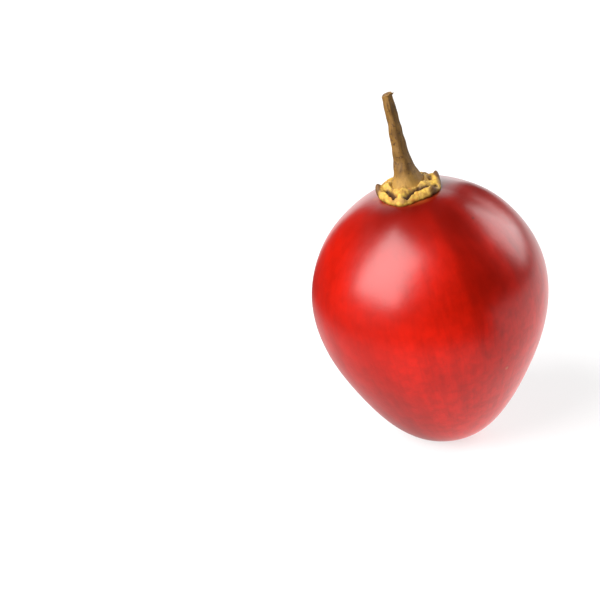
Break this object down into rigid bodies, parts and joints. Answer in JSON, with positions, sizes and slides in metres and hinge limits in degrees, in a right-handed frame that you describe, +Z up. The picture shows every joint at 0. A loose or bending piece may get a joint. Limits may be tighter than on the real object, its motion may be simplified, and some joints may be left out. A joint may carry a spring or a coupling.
{
  "type": "tamarillo",
  "caption": "Whole egg-shaped tamarillo, standing on a small flat spot with its stem end up and leaning a little: red fruit, lobed dry calyx and woody stem.",
  "frame": {"origin": "centre of the small flat spot that the fruit rests on, beside the blossom end", "axes": "+Z up, out of the resting spot; the stem end is up and leans towards -X by about 12 degrees; -Y is the side that the picture shows"},
  "size_m": [0.0527, 0.0523, 0.0816],
  "materials": {
    "skin": "gloss",
    "calyx": "satin",
    "stem": "matte"
  },
  "bodies": {
    "root": {"fruit": "skin", "calyx": "calyx", "stem": "stem"}
  },
  "joints": []
}
